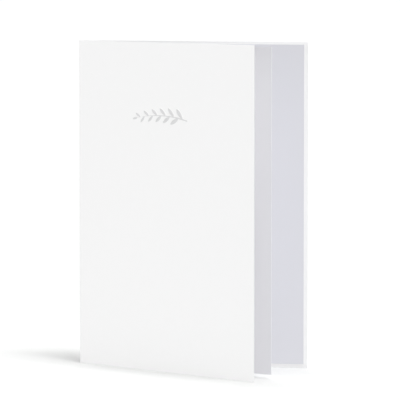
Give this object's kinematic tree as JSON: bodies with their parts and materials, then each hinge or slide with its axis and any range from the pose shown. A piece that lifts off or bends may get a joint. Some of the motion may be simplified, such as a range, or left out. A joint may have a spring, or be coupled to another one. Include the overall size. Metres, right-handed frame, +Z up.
{
  "type": "greeting card",
  "caption": "Upright folded greeting card, part open, with an embossed leafy sprig on its cover and a folded paper insert held inside by an adhesive strip.",
  "frame": {"origin": "on the table, below the middle of the standing card", "axes": "+Z up along the fold, +X from the fold towards the open side, front cover on the -Y side"},
  "size_m": [0.1242, 0.0672, 0.178],
  "materials": {
    "card_stock": "matte",
    "insert_paper": "matte",
    "adhesive": "matte"
  },
  "bodies": {
    "root": {"card": "card_stock", "insert": "insert_paper", "adhesive_strip": "adhesive"}
  },
  "joints": []
}
